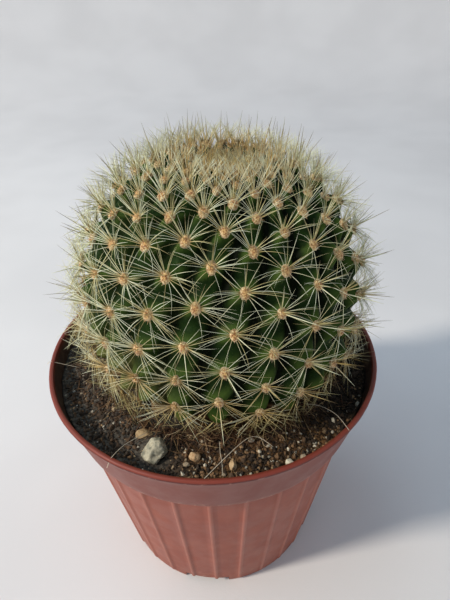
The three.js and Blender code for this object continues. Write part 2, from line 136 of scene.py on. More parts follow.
# Spines and felt
SPINE_RINGS = 6
SPINE_TAPER = np.array((1.35, 1.0, 0.88, 0.72, 0.5, 0.12))
SHARE_OF_LENGTH = ((3.0, 4.2, 5.0, 6.0, 7.0, 8.6), (1.0, 0.86, 0.68, 0.5, 0.42, 0.36))
FOOT_SPINE_TRIES = 420
HAIRS_PER_PAD = 26


def srgb(red, green, blue):
    """A screen colour from 0 to 255 as the linear colour that shaders take."""

    def linear(value):
        value /= 255
        return value / 12.92 if value <= 0.04045 else ((value + 0.055) / 1.055) ** 2.4

    return (linear(red), linear(green), linear(blue), 1.0)


def smoothstep(value, low, high):
    share = min(1.0, max(0.0, (value - low) / (high - low)))
    return share * share * (3 - 2 * share)


# Shader helpers


def add_node(tree, kind, inputs=None, **settings):
    node = tree.nodes.new(kind)
    for name, value in settings.items():
        setattr(node, name, value)
    for name, value in (inputs or {}).items():
        if isinstance(value, bpy.types.NodeSocket):
            tree.links.new(value, node.inputs[name])
        else:
            node.inputs[name].default_value = value
    return node


def calculate(tree, operation, first, second):
    return add_node(tree, "ShaderNodeMath", {0: first, 1: second}, operation=operation).outputs[0]


def times(tree, first, second):
    return calculate(tree, "MULTIPLY", first, second)


def mixed(tree, share, first, second):
    """A colour part of the way from the first to the second, each a socket or a screen colour."""
    first, second = (srgb(*colour) if isinstance(colour, tuple) else colour for colour in (first, second))
    return add_node(tree, "ShaderNodeMix", {0: share, 6: first, 7: second}, data_type="RGBA").outputs[2]


def tinted(tree, colour, mask, strength, tone):
    """A colour with a tone laid over it where the mask is."""
    return mixed(tree, times(tree, mask, strength), colour, tone)


def ramped(tree, value, *stops):
    """A colour that changes with a value, from stops of a place and a screen colour."""
    node = add_node(tree, "ShaderNodeValToRGB", {"Fac": value})
    ramp = node.color_ramp
    while len(ramp.elements) < len(stops):
        ramp.elements.new(0.5)
    for element, (place, colour) in zip(ramp.elements, stops):
        element.position = place
        element.color = srgb(*colour)
    return node.outputs["Color"]


def attribute(tree, name):
    return add_node(tree, "ShaderNodeAttribute", attribute_name=name).outputs["Fac"]


def in_range(tree, value, low, high):
    """0 at low and 1 at high, clamped, with soft ends."""
    inputs = {"Value": value, "From Min": low, "From Max": high}
    return add_node(tree, "ShaderNodeMapRange", inputs, interpolation_type="SMOOTHSTEP").outputs["Result"]


def new_group(name, inputs, output, kind="NodeSocketFloat"):
    """A shader node group with float inputs as {name: value} and one output: its tree and its ends."""
    group = bpy.data.node_groups.new(name, "ShaderNodeTree")
    for label, value in inputs.items():
        socket = group.interface.new_socket(label, in_out="INPUT", socket_type="NodeSocketFloat")
        socket.default_value = value
    group.interface.new_socket(output, in_out="OUTPUT", socket_type=kind)
    given = group.nodes.new("NodeGroupInput").outputs
    return group, given, group.nodes.new("NodeGroupOutput").inputs[output]


def pattern_inputs(group, given):
    """Where a pattern is read and the scale that gives it the group's Size in millimetres."""
    place = add_node(group, "ShaderNodeTexCoord").outputs["Object"]
    return {"Vector": place, "Scale": calculate(group, "DIVIDE", 1 / MM, given["Size"])}


def mottle_group():
    """Cloudy variation from 0 to 1; Size is the size of its patches in millimetres."""
    inputs = {"Size": 5.0, "Detail": 4.0, "Low": 0.35, "High": 0.65}
    group, given, result = new_group("mottle", inputs, "Value")
    settings = pattern_inputs(group, given) | {"Detail": given["Detail"], "Roughness": 0.6}
    cloud = add_node(group, "ShaderNodeTexNoise", settings).outputs["Fac"]
    group.links.new(in_range(group, cloud, given["Low"], given["High"]), result)
    return group


def speck_group():
    """Scattered round specks, 1 inside a speck; Size is their spacing in millimetres, Share their width."""
    group, given, result = new_group("specks", {"Size": 2.0, "Share": 0.25}, "Value")
    cells = add_node(group, "ShaderNodeTexVoronoi", pattern_inputs(group, given))
    inner = times(group, given["Share"], 0.6)
    group.links.new(in_range(group, cells.outputs["Distance"], given["Share"], inner), result)
    return group


def grain_group():
    """A grainy normal; Size is the size of the grain and Depth its height, both in millimetres."""
    inputs = {"Size": 0.5, "Depth": 0.05, "Detail": 3.0}
    group, given, result = new_group("grain", inputs, "Normal", "NodeSocketVector")
    settings = pattern_inputs(group, given) | {"Detail": given["Detail"], "Roughness": 0.65}
    cloud = add_node(group, "ShaderNodeTexNoise", settings).outputs["Fac"]
    depth = times(group, given["Depth"], MM)
    bump = add_node(group, "ShaderNodeBump", {"Height": cloud, "Distance": depth, "Strength": 1.0})
    group.links.new(bump.outputs["Normal"], result)
    return group


MOTTLE = mottle_group()
SPECKS = speck_group()
GRAIN = grain_group()


def place_group(tree, group, **values):
    node = tree.nodes.new("ShaderNodeGroup")
    node.node_tree = group
    for name, value in values.items():
        node.inputs[name].default_value = value
    return node.outputs[0]


def mottle(tree, size, low=0.35, high=0.65, detail=4.0):
    return place_group(tree, MOTTLE, Size=size, Low=low, High=high, Detail=detail)


def specks(tree, size, share):
    return place_group(tree, SPECKS, Size=size, Share=share)


def height_of(tree):
    """Height over the ground in millimetres."""
    place = add_node(tree, "ShaderNodeTexCoord").outputs["Object"]
    z = add_node(tree, "ShaderNodeSeparateXYZ", {0: place}).outputs["Z"]
    return calculate(tree, "MULTIPLY", z, 1 / MM)


def new_material(name, **constants):
    """A material and its tree; the shader's constants are named with underscores for spaces."""
    material = bpy.data.materials.new(name)
    material.use_nodes = True
    shader = material.node_tree.nodes["Principled BSDF"]
    for label, value in constants.items():
        shader.inputs[label.replace("_", " ").title().replace("Ior", "IOR")].default_value = value
    return material, material.node_tree


def finish(material, colour, grained, roughened=None):
    """Gives the shader its colour, a grain of (size, depth, detail), and where roughness changes over the
    surface, patches of (size, lowest, highest) roughness."""
    tree = material.node_tree
    inputs = tree.nodes["Principled BSDF"].inputs
    tree.links.new(colour, inputs["Base Color"])
    if grained:
        size, depth, detail = (*grained, 3.0)[:3]
        grain = place_group(tree, GRAIN, Size=size, Depth=depth, Detail=detail)
        tree.links.new(grain, inputs["Normal"])
    if roughened:
        size, low, high = roughened
        settings = {"Value": mottle(tree, size), "To Min": low, "To Max": high}
        roughness = add_node(tree, "ShaderNodeMapRange", settings).outputs["Result"]
        tree.links.new(roughness, inputs["Roughness"])
    return material


def stem_skin():
    """Green with painted furrow shade and shoulder highlights, pale and faded low on the left and corky at
    the foot.
    """
    material, tree = new_material("stem_skin", specular_ior_level=0.06)
    furrow = attribute(tree, "furrow")
    waist = attribute(tree, "waist")
    left = attribute(tree, "faded")
    green = mixed(tree, mottle(tree, 7.0), (18, 36, 9), (29, 50, 15))
    # Painted highlight: a lighter green on the shoulders of the tubercles, away from the furrows and waists.
    shoulder_highlight = times(tree, in_range(tree, furrow, 0.75, 0.15), in_range(tree, waist, 0.95, 0.2))
    green = mixed(tree, shoulder_highlight, green, (64, 84, 34))
    # Painted shade in the furrows: a dark green laid where the furrow runs, less deep on the left.
    furrow_shade = mixed(tree, left, (5, 11, 1), (22, 36, 8))
    green = mixed(tree, in_range(tree, furrow, 0.2, 0.8), green, furrow_shade)
    green = tinted(tree, green, specks(tree, 0.9, 0.2), 0.16, (96, 114, 62))
    height = calculate(tree, "ADD", height_of(tree), attribute(tree, "unevenness"))
    faded = times(tree, in_range(tree, height, *FADE_HEIGHTS), left)
    green = tinted(tree, green, faded, 0.75, (112, 114, 66))
    cork = mixed(tree, mottle(tree, 1.6), (52, 36, 25), (124, 96, 66))
    cork = tinted(tree, cork, left, 0.6, (178, 150, 112))
    colour = mixed(tree, in_range(tree, height, *CORK_HEIGHTS), green, cork)
    return finish(material, colour, (0.45, 0.09), (2.0, 0.5, 0.68))


def areole_felt():
    """Tan felt, paler at its edge, more golden on young areoles and brown on old ones."""
    material, tree = new_material("areole_felt", roughness=0.95, sheen_weight=0.35)
    heart = mixed(tree, mottle(tree, 0.42, 0.42, 0.58, 2.0), (140, 82, 40), (222, 180, 116))
    rim = mixed(tree, mottle(tree, 0.42, 0.42, 0.58, 2.0), (172, 126, 74), (240, 218, 170))
    colour = mixed(tree, in_range(tree, attribute(tree, "edge"), 0.3, 0.9), heart, rim)
    tones = ("tint", 0.5, (160, 126, 80)), ("young", 0.7, (192, 154, 84)), ("old", 0.8, (92, 66, 44))
    for layer, strength, tone in tones:
        colour = tinted(tree, colour, attribute(tree, layer), strength, tone)
    return finish(material, colour, (0.3, 0.2, 2.0))


def spine_horn():
    """Spines from near white to brown, tan at the root, some golden and some with dark tips."""
    material, tree = new_material("spine_horn", roughness=0.42, specular_ior_level=0.45)
    along = attribute(tree, "along")
    stops = (0.0, (246, 250, 222)), (0.3, (222, 217, 168)), (0.75, (174, 156, 98)), (1.0, (92, 60, 42))
    colour = ramped(tree, attribute(tree, "tint"), *stops)
    colour = tinted(tree, colour, mottle(tree, 1.1), 0.22, (146, 138, 90))
    colour = mixed(tree, in_range(tree, along, 0.26, 0.02), colour, (196, 166, 108))
    golden = times(tree, in_range(tree, along, 0.85, 0.2), attribute(tree, "gold"))
    gold = mixed(tree, in_range(tree, along, 0.4, 0.08), (232, 188, 110), (166, 124, 64))
    colour = tinted(tree, colour, golden, 0.8, gold)
    tip = times(tree, in_range(tree, along, 0.35, 0.9), attribute(tree, "dark"))
    colour = mixed(tree, tip, colour, (92, 68, 52))
    return finish(material, colour, None, (0.8, 0.34, 0.52))


def pot_plastic():
    """Terracotta-coloured plastic with a darker collar, scuffed edges and a dusty foot; painted highlights
    on the lip's top, the ribs and some edges, and painted shade with soil dust down the inner wall.
    """
    material, tree = new_material("pot_plastic", specular_ior_level=0.32)
    height = height_of(tree)
    wall = mixed(tree, mottle(tree, 22.0, 0.3, 0.7), (144, 74, 57), (156, 84, 65))
    wall = tinted(tree, wall, mottle(tree, 4.0), 0.25, (130, 72, 62))
    collar = in_range(tree, height, COLLAR_FOOT_Z - 1.0, COLLAR_FOOT_Z + 2.0)
    wall = tinted(tree, wall, collar, 0.7, (116, 64, 57))
    # The red lip in two tones: its top face is painted lighter than its side, as painted light from above.
    on_lip = in_range(tree, height, POT_HEIGHT - LIP_HEIGHT - 0.1, POT_HEIGHT - LIP_HEIGHT + 0.1)
    lip_top_painted_light = in_range(tree, height, POT_HEIGHT - 0.8, POT_HEIGHT - 0.3)
    colour = mixed(tree, on_lip, wall, mixed(tree, lip_top_painted_light, (92, 34, 26), (126, 54, 41)))
    # Painted highlight on the ribs: they are laid lighter where they stand proud.
    colour = tinted(tree, colour, attribute(tree, "rib"), 0.6, (172, 108, 92))
    # Down the inner wall the red of the rim turns dark greyish brown: painted shade inside the pot, with
    # some soil dust.
    dusty = mixed(tree, mottle(tree, 2.5), (66, 50, 43), (84, 68, 58))
    inner = mixed(tree, in_range(tree, height, POT_HEIGHT - 0.4, POT_HEIGHT - 2.6), (112, 50, 36), dusty)
    colour = mixed(tree, attribute(tree, "inside"), colour, inner)
    dust = times(tree, mottle(tree, 3.0, 0.5, 0.75), in_range(tree, height, 16.0, 0.0))
    colour = tinted(tree, colour, dust, 0.35, (186, 150, 128))
    # Lighter scuffs: wear at the foot, and at the lip's lower edge and the collar step painted edge
    # highlights as well.
    scuffs_and_highlights = times(tree, mottle(tree, 1.6, 0.54, 0.62, 6.0), attribute(tree, "scuff_and_highlight"))
    colour = tinted(tree, colour, scuffs_and_highlights, 0.8, (226, 176, 154))
    return finish(material, colour, (0.8, 0.02), (9.0, 0.42, 0.54))


def peat():
    """Dark peat, paler where it is dry and brown where it is sandy, with a few bright specks."""
    material, tree = new_material("peat", roughness=1.0, specular_ior_level=0.15)
    moist = mixed(tree, mottle(tree, 1.3), (24, 21, 18), (66, 56, 46))
    dry = mixed(tree, mottle(tree, 1.3), (52, 48, 45), (98, 91, 82))
    sandy = mixed(tree, mottle(tree, 0.7, 0.4, 0.6), (38, 28, 20), (112, 82, 54))
    colour = mixed(tree, attribute(tree, "dryness"), moist, dry)
    colour = mixed(tree, attribute(tree, "sandiness"), colour, sandy)
    bright = times(tree, specks(tree, 1.1, 0.24), mottle(tree, 1.7, 0.5, 0.56))
    colour = tinted(tree, colour, bright, 0.8, (176, 150, 118))
    return finish(material, colour, (0.7, 0.5, 5.0))


def grit_grain():
    material, tree = new_material("grit_grain", specular_ior_level=0.3)
    dark_stops = (0.0, (32, 25, 21)), (0.3, (58, 48, 39)), (0.5, (94, 73, 55)), (0.66, (142, 108, 76))
    pale_stops = (0.78, (176, 146, 110)), (0.88, (168, 164, 152)), (1.0, (226, 214, 192))
    colour = ramped(tree, attribute(tree, "tint"), *dark_stops, *pale_stops)
    colour = tinted(tree, colour, mottle(tree, 0.4), 0.35, (70, 54, 42))
    return finish(material, colour, (0.3, 0.1), (0.5, 0.75, 0.95))


def straw():
    material, tree = new_material("straw", roughness=0.7, specular_ior_level=0.3)
    brown_stops = (0.0, (54, 32, 24)), (0.35, (98, 66, 46)), (0.6, (146, 114, 80))
    pale_stops = (0.85, (202, 174, 128)), (1.0, (232, 222, 204))
    colour = ramped(tree, attribute(tree, "tint"), *brown_stops, *pale_stops)
    colour = tinted(tree, colour, mottle(tree, 1.0), 0.3, (110, 82, 56))
    return finish(material, colour, (0.3, 0.05))


def rock(name, light, dark, dusty):
    material, tree = new_material(name, specular_ior_level=0.3)
    colour = mixed(tree, mottle(tree, 2.2, 0.35, 0.62, 6.0), dark, light)
    colour = tinted(tree, colour, mottle(tree, 1.1, 0.55, 0.7, 5.0), 0.6, dusty)
    return finish(material, colour, (0.6, 0.18, 5.0), (1.0, 0.7, 0.95))


def pale_cloth():
    material, tree = new_material("pale_cloth", specular_ior_level=0.2)
    colour = mixed(tree, mottle(tree, 140.0, 0.3, 0.7, 2.0), (216, 213, 214), (223, 220, 221))
    return finish(material, colour, (1.0, 0.04), (30.0, 0.85, 0.95))


# Mesh helpers


def as_mesh(bm, name):
    mesh = bpy.data.meshes.new(name)
    bm.to_mesh(mesh)
    bm.free()
    return mesh


def in_scene(name, data):
    item = bpy.data.objects.new(name, data)
    bpy.context.scene.collection.objects.link(item)
    return item


def new_piece(name, bm, material, smooth=True):
    """An object in metres from a bmesh in millimetres."""
    bm.transform(Matrix.Scale(MM, 4))
    mesh = as_mesh(bm, name)
    if smooth:
        mesh.shade_smooth()
    mesh.materials.append(material)
    return in_scene(name, mesh)


def finished(name, bm, material, node, smooth=True):
    """A piece that rides on the root and stands for a CAD node."""
    piece = new_piece(name, bm, material, smooth)
    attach(piece, "root")
    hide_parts(node)
    return piece


def new_layers(bm, *names):
    return [bm.verts.layers.float.new(name) for name in names]


def stepped_profile(bm, points, layer=None, values=()):
    """A string of edges through (radius, height) points, with the layer's values where it is given."""
    verts = [bm.verts.new((radius, 0, z)) for radius, z in points]
    for vert, value in zip(verts, values):
        vert[layer] = value
    return verts + [bm.edges.new(pair) for pair in zip(verts, verts[1:])]


def spun(bm, profile, steps):
    """Turns a profile about the axis, closes the poles and points the faces outwards."""
    axis = (0, 0, 1)
    bmesh.ops.spin(bm, geom=profile, cent=(0, 0, 0), axis=axis, angle=TURN, steps=steps, use_merge=True)
    bmesh.ops.remove_doubles(bm, verts=bm.verts, dist=1e-4)
    bmesh.ops.recalc_face_normals(bm, faces=bm.faces)


def azimuth_of(x, y):
    """Azimuth of a point, 0 towards the viewer's side and growing to the right."""
    return atan2(x, -y)


def around_axis(azimuth, radius, z):
    return Vector((radius * sin(azimuth), -radius * cos(azimuth), z))


# The stem's outline and lattice


OUTLINE_POINTS = 601
RISING_POINTS = 500


def stem_outline():
    """The stem's outline from its foot to the middle of its crown: radius, height, length along it, row of
    areoles and outward direction at each of its points."""
    angle = np.linspace(-pi / 2, pi / 2, OUTLINE_POINTS)
    upper = angle > 0
    power = np.where(upper, 2 / STEM_TOP_POWER, 2 / STEM_BOTTOM_POWER)
    radius = STEM_RADIUS * np.abs(np.cos(angle)) ** power
    dimple = np.where(upper, CROWN_DIMPLE * np.exp(-((radius / CROWN_DIMPLE_RADIUS) ** 2)), 0.0)
    z = np.where(upper, STEM_TOP, -STEM_BOTTOM) * np.abs(np.sin(angle)) ** power - dimple
    length = np.hypot(np.diff(radius), np.diff(z))
    share = np.where(z < 0, 1.0, np.maximum(radius / STEM_RADIUS, 0.08))
    rate = 1 / (ROW_STEP * share**ROW_STEP_POWER)
    along = np.concatenate([[0], np.cumsum(length)])
    along -= along[OUTLINE_POINTS // 2]
    row = np.concatenate([[0], np.cumsum(length * (rate[:-1] + rate[1:]) / 2)])
    row -= np.interp(FIRST_ROW_HEIGHT, along, row)
    slope = np.stack([np.gradient(z, along), -np.gradient(radius, along)])
    slope /= np.linalg.norm(slope, axis=0)
    return {"radius": radius, "z": z, "along": along, "row": row, "out_r": slope[0], "out_z": slope[1]}


OUTLINE = stem_outline()


def outline_at(row):
    """The outline's values at a row of areoles."""
    values = {name: float(np.interp(row, OUTLINE["row"], line)) for name, line in OUTLINE.items()}
    return SimpleNamespace(**values)


def row_at_height(z):
    return float(np.interp(z, OUTLINE["z"][:RISING_POINTS], OUTLINE["row"][:RISING_POINTS]))


FOOT_ROW = row_at_height(SOIL_EDGE_Z - 3 - LEAN_MOVE[2])


def leaned(point):
    return LEAN_TURN @ np.asarray(point) + LEAN_MOVE


def soil_height(x, y):
    rise = SOIL_MOUND * (1 - smoothstep(hypot(x, y), *MOUND_RADII))
    wave = TURN / SOIL_LUMP_LENGTH
    lumps = sin(wave * x + 1.3) * cos(wave * y) + 0.6 * sin(wave / 2 * (x - 2.5 * y))
    return SOIL_EDGE_Z + rise + SOIL_LUMP * lumps


def pot_inner_radius(z):
    if z < COLLAR_FOOT_Z + LEDGE_RISE:
        return BASE_RADIUS + (BODY_TOP_RADIUS - BASE_RADIUS) * z / COLLAR_FOOT_Z - WALL
    share = (z - COLLAR_FOOT_Z) / (POT_HEIGHT - LIP_HEIGHT - COLLAR_FOOT_Z)
    return COLLAR_FOOT_RADIUS + (COLLAR_TOP_RADIUS - COLLAR_FOOT_RADIUS) * share - WALL


def stem_place(rib, row):
    """A place on the stem's outer face with its outward, sideways and upward directions; row counts from
    the first rib's rows."""
    point = outline_at(row)
    slant = RIB_SLANT * point.along + RIB_CURL * point.along ** 2
    azimuth = RIB_PHASE + TURN * rib / RIBS + slant
    sine, cosine = sin(azimuth), cos(azimuth)
    place = leaned((point.radius * sine, -point.radius * cosine, point.z))
    out = LEAN_TURN @ np.array((point.out_r * sine, -point.out_r * cosine, point.out_z))
    side = LEAN_TURN @ np.array((cosine, sine, 0.0))
    up = -np.cross(side, out)
    return SimpleNamespace(place=place, out=out, side=side, up=up, row=row)


def all_areoles():
    """The areoles above the soil, but for the lowest in front, which have rotted away."""
    areoles = []
    for rib in range(RIBS):
        shift = ROW_SHIFT * rib
        step = ceil(FOOT_ROW - shift)
        while step + shift < LAST_ROW:
            areole = stem_place(rib, step + shift)
            x, y, z = areole.place
            rotted = step + shift < ROTTED_ROW and abs(azimuth_of(x, y) - 0.3) < 0.8
            if z > soil_height(x, y) + 0.9 and not rotted:
                areoles.append(areole)
            step += 1
    return areoles


def make_stem(material):
    """The ribbed stem with its root neck: a spun outline that is pressed in at the furrows and waists."""
    bm = bmesh.new()
    names = ("row", "furrow", "waist", "unevenness", "faded")
    row_layer, furrow_layer, waist_layer, uneven_layer, faded_layer = new_layers(bm, *names)
    last = float(OUTLINE["row"][-1])
    count = int((last - FOOT_ROW) * STEPS_PER_ROW)
    rows = [FOOT_ROW + (last - FOOT_ROW) * i / count for i in range(count)]
    places = [outline_at(row) for row in rows]
    points = [*ROOT_OUTLINE, *((p.radius, p.z) for p in places), (0.0, float(OUTLINE["z"][-1]))]
    values = [-POLE_ROW] * len(ROOT_OUTLINE) + rows + [POLE_ROW]
    spun(bm, stepped_profile(bm, points, row_layer, values), RIBS * COLUMNS_PER_STEM_RIB)
    for vert in bm.verts:
        row = vert[row_layer]
        x, y, z = vert.co
        if abs(row) > POLE_ROW / 2:
            vert.co = LEAN @ (vert.co - Vector((0, 0, 0.9 if row > 0 else 0)))
            continue
        point = outline_at(row)
        across = ((azimuth_of(x, y) - RIB_PHASE) % TURN) * RIBS / TURN
        furrow = min(1.0, 2 * abs(across - round(across))) ** 1.6
        furrow -= 0.12 * max(0.0, furrow - 0.8)
        turn = TURN * (row - ROW_SHIFT * across)
        waist = 0.5 - 0.5 * cos(turn + 0.35 * sin(turn))
        depth = WAIST_DEPTH * waist * (1 - furrow) + FURROW_DEPTH * furrow
        crown = min(1.0, (point.radius / STEM_RADIUS) ** 0.9)
        shown = smoothstep(point.z + LEAN_MOVE[2] - SOIL_EDGE_Z, -3, 6)
        depth *= crown * (0.25 + 0.75 * shown)
        depth += 0.45 * noise.noise(vert.co * 0.16) * shown
        slant = RIB_SLANT * point.along + RIB_CURL * point.along ** 2
        azimuth = azimuth_of(x, y) + slant
        radius = point.radius - depth * point.out_r
        vert.co = LEAN @ around_axis(azimuth, radius, point.z - depth * point.out_z)
        vert[furrow_layer] = furrow
        vert[waist_layer] = waist
        left = smoothstep(-azimuth_of(x, y), 0.1, 0.9)
        vert[uneven_layer] = 3.0 * noise.noise(vert.co * 0.12) - 3.0 * left
        vert[faded_layer] = left
    finished("stem", bm, material, "cactus")


# Spines and other thin things: a straight three-sided shape that is bent along a path


def straight_shoot(sides, rings):
    """A unit shoot up the axis, one ring per unit of height, closed at its tip, as a mesh."""
    bm = bmesh.new()
    bmesh.ops.create_circle(bm, segments=sides, radius=1)
    edges = bm.edges[:]
    for _ in range(rings - 1):
        geometry = bmesh.ops.extrude_edge_only(bm, edges=edges)["geom"]
        edges = [item for item in geometry if isinstance(item, bmesh.types.BMEdge)]
        verts = [item for item in geometry if isinstance(item, bmesh.types.BMVert)]
        bmesh.ops.translate(bm, verts=verts, vec=(0, 0, 1))
    bmesh.ops.contextual_create(bm, geom=edges)
    bmesh.ops.recalc_face_normals(bm, faces=bm.faces)
    return as_mesh(bm, f"shoot_{sides}_{rings}")


class Bundle:
    """Copies of one small mesh, each shaped on its own, gathered into one piece."""

    def __init__(self, mesh, *values):
        self.mesh = mesh
        self.count = len(mesh.vertices)
        flat = np.empty(self.count * 3, np.float32)
        mesh.vertices.foreach_get("co", flat)
        self.shape = flat.reshape(-1, 3).astype(float)
        self.values = values
        for name in values:
            mesh.attributes.new(name, "FLOAT", "POINT")
        self.bm = bmesh.new()

    def add(self, points, **values):
        self.mesh.vertices.foreach_set("co", points.astype(np.float32).ravel())
        for name in self.values:
            value = values.get(name, 0.0)
            spread = np.broadcast_to(np.asarray(value, np.float32), self.count)
            self.mesh.attributes[name].data.foreach_set("value", np.ascontiguousarray(spread))
        self.bm.from_mesh(self.mesh)

    def add_shoot(self, path, radii, **values):
        """Bends the straight shoot along a path of one point a ring."""
        path = np.asarray(path)
        tangents = np.gradient(path, axis=0)
        tangents /= np.linalg.norm(tangents, axis=1)[:, None]
        hint = np.array((0.31, 0.57, 0.76))
        if abs(tangents[0] @ hint) > 0.9:
            hint = np.array((0.8, -0.5, 0.33))
        first = np.cross(tangents, hint)
        first /= np.linalg.norm(first, axis=1)[:, None]
        second = np.cross(tangents, first)
        ring = np.rint(self.shape[:, 2]).astype(int)
        radius = np.asarray(radii)[ring][:, None]
        offset = self.shape[:, :1] * first[ring] + self.shape[:, 1:2] * second[ring]
        along = ring / (len(path) - 1)
        self.add(path[ring] + radius * offset, along=along, **values)


def is_clear(point):
    """Whether a point is clear of the soil and the pot's rim."""
    x, y, z = point
    if z < soil_height(x, y) + CLEARANCE:
        return False
    return z > POT_HEIGHT + CLEARANCE or hypot(x, y) < pot_inner_radius(z) - 2 * CLEARANCE


def spine_path(areole, turn, leans, length, start, curl):
    """Points of a spine that leaves an areole, bent from its first lean to its last; it is raised step by
    step until it is clear, or nothing where it can't be."""
    out, side, up = areole.out, areole.side, areole.up
    step = length / (SPINE_RINGS - 1)
    for lift in np.arange(12) * 0.16:
        path = []
        for i in range(SPINE_RINGS):
            share = i / (SPINE_RINGS - 1)
            lean = leans[0] + (leans[1] - leans[0]) * share
            way = turn + curl * share
            sideways = up * cos(way) + side * sin(way)
            direction = out * cos(lean) + sideways * sin(lean) + np.array((0, 0, lift))
            if path:
                path.append(path[-1] + direction * (step / np.linalg.norm(direction)))
            else:
                path.append(areole.place + sideways * start - out * 0.25)
        if all(is_clear(point) for point in path[1:]):
            return path
    return None


def fan_turns(rng, count, closed):
    """Directions of the spines round an areole, measured from its upper side: more lie in the two side
    fans, and the share closed of the way down is left free."""
    turns = []
    for i in range(count):
        even = TURN * ((i + 0.5 + rng.uniform(-0.55, 0.55)) / count - 0.5)
        turns.append((even + 0.3 * sin(2 * even)) * (1 - closed))
    return turns


def age_at_foot(row):
    """Nought on the live stem, one for the dead areoles next to the soil."""
    return smoothstep(row, -2.15, -2.7)


def spine_habit(areole):
    """How an areole's spines grow where it stands on the stem, mostly as shares from nought to one."""
    row = areole.row
    x, y, _ = areole.place
    azimuth = azimuth_of(x, y)
    old = age_at_foot(row)
    young = smoothstep(row, 3.4, 5.0)
    grown = 1 - young
    facing = smoothstep(-y, -4.0, 8.0)
    clump = smoothstep(row, 5.2, 6.2) * noise.noise(Vector((x * 0.3, y * 0.3, 5.0)))
    fans = smoothstep(row, 3.2, 4.4) * smoothstep(row, 6.6, 6.0) * facing
    gold = smoothstep(row, 3.6, 5.4) * (1 - 0.2 * fans)
    return SimpleNamespace(
        azimuth=azimuth,
        old=old,
        young=young,
        clump=clump,
        fans=fans,
        gold=gold + 0.75 * smoothstep(row, -0.6, -1.6) * (1 - old),
        lower=smoothstep(row, 2.4, 0.6),
        upper=smoothstep(row, 0.8, 4.2),
        inner=smoothstep(row, 5.6, 7.0),
        left=smoothstep(-azimuth, -0.1, 0.8) * grown * (1 - 0.6 * smoothstep(row, 1.5, 3.5)),
        right=smoothstep(azimuth, 0.1, 0.8) * smoothstep(azimuth, 1.25, 1.0) * grown,
        brush=smoothstep(azimuth, 1.0, 1.25) * smoothstep(azimuth, 2.2, 1.8) * grown,
        tuft=smoothstep(row, 4.4, 5.3) * (1 - facing),
        share=float(np.interp(row, *SHARE_OF_LENGTH)) * (1 + 1.1 * clump),
    )


def grow(bundle, areole, turn, leans, length, radius, tint, start=0.85, curl=0.0, dark=0.0, gold=0.0):
    """One spine, left out where it can't be clear of the soil and the pot."""
    path = spine_path(areole, turn, leans, length, start, curl)
    if path is not None:
        tint = min(1.0, max(0.0, tint))
        bundle.add_shoot(path, radius * SPINE_TAPER, tint=tint, dark=dark, gold=gold)


def grow_radials(rng, areole, habit, bundle):
    """The spines that lie round an areole."""
    h = habit
    closed = (0.32 * h.upper + 0.1 * smoothstep(areole.row, -1.6, -0.6)) * (1 - h.tuft)
    narrow = (1 - 0.2 * h.upper) * (1 - 0.2 * h.young - 0.48 * h.tuft) * (1 - 0.4 * h.inner)
    count = rng.randint(18, 22) + round((8 + 12 * h.lower) * h.left - 4 * h.right + 12 * h.brush - 7 * h.old)
    count += round(20 * h.clump - 13 * h.tuft - 9 * h.inner)
    for turn in fan_turns(rng, count, closed):
        side = abs(sin(turn))
        down = smoothstep(abs(turn), 2.0, 2.7) * (1 - h.young)
        length = (7.6 + 3.3 * side + 1.0 * h.left) * rng.uniform(0.8, 1.14) * h.share * (1 - 0.12 * down)
        first = rng.uniform(0.6, 1.12) * narrow + 0.24 * h.lower
        last = first + rng.uniform(0.1, 0.45) * (1 - 0.3 * h.upper) + rng.uniform(0, 0.15) * h.lower
        pale = rng.random() < 0.65
        tint = (rng.gauss(0.05, 0.1) if pale else rng.uniform(0.3, 0.7)) * (1 - 0.5 * h.young - 0.2 * h.fans)
        tint += 0.7 * h.old + 0.4 * h.inner
        radius = rng.uniform(0.05, 0.086) * (1 + 0.35 * h.young + 0.45 * h.left) * (1 - 0.22 * down)
        curl = copysign(rng.uniform(0, 0.2 + 0.5 * side), turn)
        curl = curl * (1 - 0.8 * h.young) * (1 - 0.5 * h.left) + rng.gauss(0, 0.12)
        dark = 0.2 * h.young + 0.3 * h.inner + (0.6 * h.tuft if rng.random() < 0.4 else 0.0)
        start = 0.85 - 0.4 * h.tuft
        grow(bundle, areole, turn, (first, last), length, radius, tint, start, curl, dark, h.gold)


def grow_upright(rng, areole, habit, bundle):
    """The small tuft that stands out of an areole."""
    for _ in range(rng.randint(4, 6) - round(4 * habit.inner - 6 * habit.clump)):
        first = rng.uniform(0.3, 1.0) * (1 - 0.3 * habit.young)
        length = rng.uniform(5.0, 10.0) * habit.share
        tint = rng.uniform(0.15, 0.8) * (1 - 0.4 * habit.young)
        dark = rng.uniform(0.0, 0.9)
        leans = (first, first + rng.uniform(-0.1, 0.3))
        turn, radius = rng.gauss(0.0, 0.6), rng.uniform(0.085, 0.12)
        grow(bundle, areole, turn, leans, length, radius, tint, 0.7, dark=dark, gold=habit.gold)


